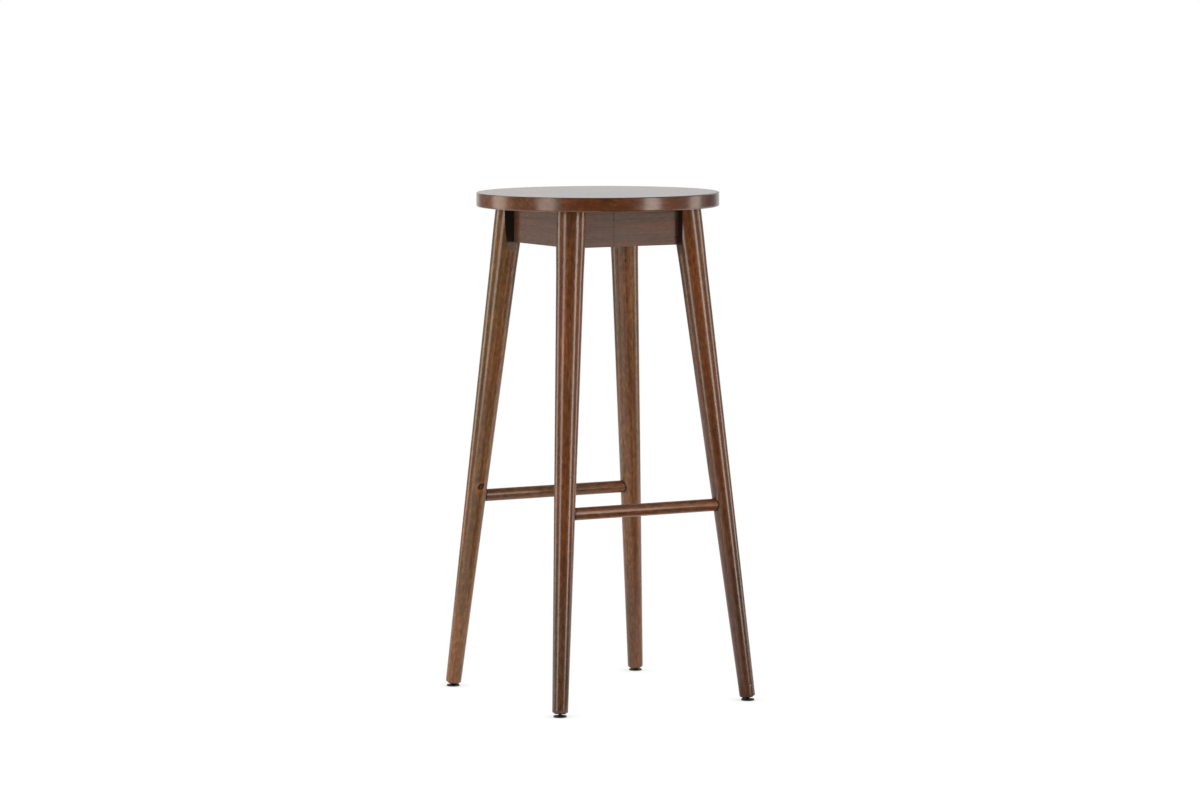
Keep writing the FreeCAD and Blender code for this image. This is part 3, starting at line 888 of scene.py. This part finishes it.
def paintMetal():
    material, tree, shader, place = newMaterial("zincSteel")
    zinc = useGroup(tree, zincGroup, {"Vector": place})
    finishMaterial(tree, shader, zinc, zincSteel["bump"], zincSteel["shader"])
    for node in zincSteel["nodes"]:
        give(node, material)


def paintPlastic():
    for name, wear in glidePlastic["wear"].items():
        material, tree, shader, place = newMaterial(name + "Plastic")
        skin = useGroup(tree, mouldedGroup, {"Vector": place, "Wear": wear})
        finishMaterial(tree, shader, skin, glidePlastic["bump"], glidePlastic["shader"])
        for corner in corners:
            give(name + "_" + corner, material)


paintSeat()
paintRails()
paintLegs()
paintStretchers()
paintBlocks()
paintDowels()
paintMetal()
paintPlastic()
print("materials on", len(cadNodes), "nodes")


# studio

view = {
    "away": 6.96458,                    # camera's distance along the floor
    "sidestep": -0.00262,
    "height": 1.09743,
    "turn": 28.872,                     # degrees from the -Y direction, towards -X
    "pitch": 5.392,
    "roll": 0.133,
    "lens": 141.08,
    "sensor": 36,
    "clipEnd": 100,
}

room = {
    "backdrop": 1.0,                    # what the camera sees past the stool
    "wallBehind": 0.84,
    "wallEdges": (-0.78, -0.97),        # cosine of the angle from the camera's side
    "sides": 0.15,
    "cameraSide": 0.06,
    "cameraSideEdges": (0.1, 0.75),
    "ceiling": 0.34,
    "ceilingEdges": (0.25, 0.7),        # sine of the height above level
}

lamps = {                               # tall strips round the stool, all alike but for what strips says
    "away": 2.6,
    "low": 0.05,
    "high": 2.3,
    "colour": (1.0, 0.90, 0.80),
}

strips = [                              # degrees from the camera, angular width in degrees, radiance
    {"name": "stripRight", "from": 51.0, "wide": 15.0, "radiance": 6.6},
    {"name": "stripLeft", "from": -47.5, "wide": 18.0, "radiance": 4.6},
    {"name": "stripFarRight", "from": 102.5, "wide": 16.0, "radiance": 3.4},
    {"name": "stripFarLeft", "from": -104.0, "wide": 20.0, "radiance": 3.0},
]

floorLook = {
    "size": 2.5,
    "tone": (0.88, 0.88, 0.88, 1),
    "paleTone": (0.91, 0.91, 0.91, 1),
    "mottleScale": 1.5,
    "surface": {
        "Roughness": 0.9,
        "Specular IOR Level": 0.1,
        "Emission Color": (1, 1, 1, 1),
        "Emission Strength": 0.30,
    },
    "seenGlow": 1.06,                   # how white the floor looks to the camera
    "seenShare": 0.88,
    "contactReach": 0.05,
    "contactShade": 0.72,
    "contactEdges": (0.35, 1.0),
    "dimGlow": 0.10,                    # a part in front of the front right leg, as the lacquer reflects it
    "dimAhead": (-0.05, 0.15),
    "dimAside": (0.04, 0.16),
}


def heading(degrees):  # level direction from the stool, 0 towards the camera, plus to its right
    angle = math.radians(degrees - view["turn"])
    return Vector((math.sin(angle), -math.cos(angle), 0))


def addCamera():
    data = bpy.data.cameras.new("camera")
    data.lens = view["lens"]
    data.sensor_width = view["sensor"]
    data.clip_end = view["clipEnd"]
    camera = bpy.data.objects.new("camera", data)
    scene.collection.objects.link(camera)
    toCamera = heading(0)
    right = Vector((-toCamera.y, toCamera.x, 0))
    place = toCamera * view["away"] - right * view["sidestep"]
    place.z = view["height"]
    turn = (Matrix.Rotation(math.radians(-view["turn"]), 4, "Z")
            @ Matrix.Rotation(math.radians(90 - view["pitch"]), 4, "X")
            @ Matrix.Rotation(math.radians(-view["roll"]), 4, "Z"))
    camera.matrix_world = Matrix.Translation(place) @ turn
    scene.camera = camera


def addStrip(strip):
    centre = heading(strip["from"]) * lamps["away"]
    centre.z = (lamps["low"] + lamps["high"]) / 2
    data = bpy.data.lights.new(strip["name"], "AREA")
    data.shape = "RECTANGLE"
    data.size = 2 * lamps["away"] * math.tan(math.radians(strip["wide"] / 2))
    data.size_y = lamps["high"] - lamps["low"]
    data.energy = strip["radiance"] * math.pi * data.size * data.size_y
    data.color = lamps["colour"]
    lamp = bpy.data.objects.new(strip["name"], data)
    scene.collection.objects.link(lamp)
    lamp.location = centre
    lamp.rotation_euler = (Vector((0, 0, centre.z)) - centre).to_track_quat("-Z", "Y").to_euler()
    lamp.visible_camera = False


def mixValue(tree, factor, a, b):
    return addNode(tree, "Mix", {"data_type": "FLOAT"}, {0: factor, 2: a, 3: b}).outputs[0]


def mixShader(tree, share, a, b):
    return addNode(tree, "MixShader", None, {0: share, 1: a, 2: b}).outputs[0]


def addWorld():
    world = bpy.data.worlds.new("studio")
    scene.world = world
    world.use_nodes = True
    tree = world.node_tree
    tree.nodes.clear()
    direction = addNode(tree, "TexCoord").outputs["Generated"]
    facing = measure(tree, "DOT_PRODUCT", direction, heading(0))
    level = ease(tree, facing, *room["wallEdges"], room["sides"], room["wallBehind"])
    level = mixValue(tree, ease(tree, facing, *room["cameraSideEdges"]), level, room["cameraSide"])
    overhead = ease(tree, axisOf(tree, direction, "Z"), *room["ceilingEdges"])
    level = mixValue(tree, overhead, level, room["ceiling"])
    around = addNode(tree, "Background", None, {"Color": (1, 1, 1, 1), "Strength": level}).outputs[0]
    plain = addNode(tree, "Background", None, {"Color": (1, 1, 1, 1), "Strength": room["backdrop"]}).outputs[0]
    seen = addNode(tree, "LightPath").outputs["Is Camera Ray"]
    output = addNode(tree, "OutputWorld")
    tree.links.new(mixShader(tree, seen, around, plain), output.inputs[0])


def addFloor():
    mesh = bpy.data.meshes.new("floor")
    shape = bmesh.new()
    bmesh.ops.create_circle(shape, cap_ends=True, segments=128, radius=floorLook["size"])
    shape.to_mesh(mesh)
    shape.free()
    mesh.materials.append(floorMaterial())
    floor = bpy.data.objects.new("floor", mesh)
    scene.collection.objects.link(floor)
    floor.location.z = cadBox[0][2]


def floorMaterial():
    material, tree, shader, place = newMaterial("paleFloor")
    cloud = noise(tree, place, floorLook["mottleScale"])
    tone = mixColour(tree, cloud, floorLook["tone"], floorLook["paleTone"])
    tree.links.new(tone, shader.inputs["Base Color"])
    for name, value in floorLook["surface"].items():
        shader.inputs[name].default_value = value
    rays = addNode(tree, "LightPath").outputs
    share = calc(tree, "MULTIPLY", rays["Is Camera Ray"], floorLook["seenShare"])
    surface = mixShader(tree, share, shader.outputs[0], contactGlow(tree))
    dim = calc(tree, "MULTIPLY", dimmedPart(tree, place), rays["Is Glossy Ray"])
    surface = mixShader(tree, dim, surface, glow(tree, floorLook["dimGlow"]))
    below = addNode(tree, "NewGeometry").outputs["Backfacing"]
    surface = mixShader(tree, below, surface, addNode(tree, "BsdfTransparent").outputs[0])
    output = next(node for node in tree.nodes if node.type == "OUTPUT_MATERIAL")
    tree.links.new(surface, output.inputs[0])
    return material


def glow(tree, strength):
    return addNode(tree, "Emission", None, {"Color": (1, 1, 1, 1), "Strength": strength}).outputs[0]


def contactGlow(tree):  # white, but shaded close to the pads
    reach = {"Distance": floorLook["contactReach"]}
    openness = addNode(tree, "AmbientOcclusion", {"samples": 8}, reach).outputs["AO"]
    return glow(tree, ease(tree, openness, *floorLook["contactEdges"],
                           floorLook["contactShade"], floorLook["seenGlow"]))


def dimmedPart(tree, place):
    ahead = ease(tree, measure(tree, "DOT_PRODUCT", place, heading(0)), *floorLook["dimAhead"])
    aside = ease(tree, measure(tree, "DOT_PRODUCT", place, heading(90)), *floorLook["dimAside"])
    return calc(tree, "MULTIPLY", ahead, aside)


addCamera()
for strip in strips:
    addStrip(strip)
addWorld()
addFloor()
scene.view_settings.view_transform = "Standard"
print("studio ready")
